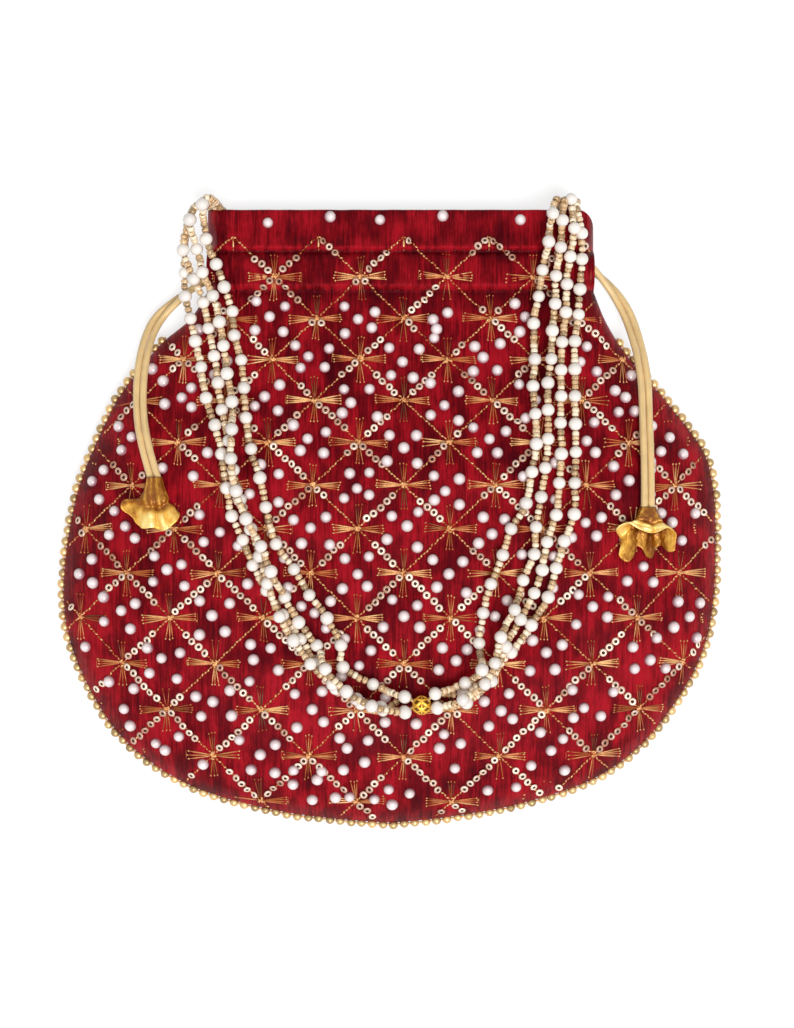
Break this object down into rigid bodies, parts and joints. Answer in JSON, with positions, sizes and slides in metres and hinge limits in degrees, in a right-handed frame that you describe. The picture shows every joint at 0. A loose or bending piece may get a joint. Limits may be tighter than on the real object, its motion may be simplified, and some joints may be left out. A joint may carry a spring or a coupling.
{
  "type": "potli bag",
  "caption": "flat round-bottomed drawstring pouch with a gathered casing neck, beaded seam edging, strung-bead handle and flower-capped drawcords",
  "frame": {"origin": "on the flat of the back, under the middle of the bag", "axes": "+Z away from the surface it lies on, toward the embroidered front; +Y toward the mouth; +X to the right as the front is seen"},
  "size_m": [0.2545, 0.2439, 0.0394],
  "materials": {
    "brocade": "crimson silk with a gold and pearl lattice",
    "lining": "plain dark crimson lining cloth",
    "gilt_beads": "antique gold ball beads",
    "pearls": "ivory pearls and champagne seed beads",
    "filigree": "bright gold filigree",
    "cord": "beige gold satin cord",
    "tissue": "gold tissue cloth"
  },
  "bodies": {
    "root": {"front_panel": "brocade", "back_panel": "brocade", "front_lining": "lining", "back_lining": "lining", "bead_edging": "gilt_beads", "handle_strand_1": "pearls", "handle_strand_2": "pearls", "handle_strand_3": "pearls", "handle_strand_4": "pearls", "centre_bead": "filigree", "drawcord_left": "cord", "drawcord_right": "cord", "tassel_left": "tissue", "tassel_right": "tissue"}
  },
  "joints": []
}
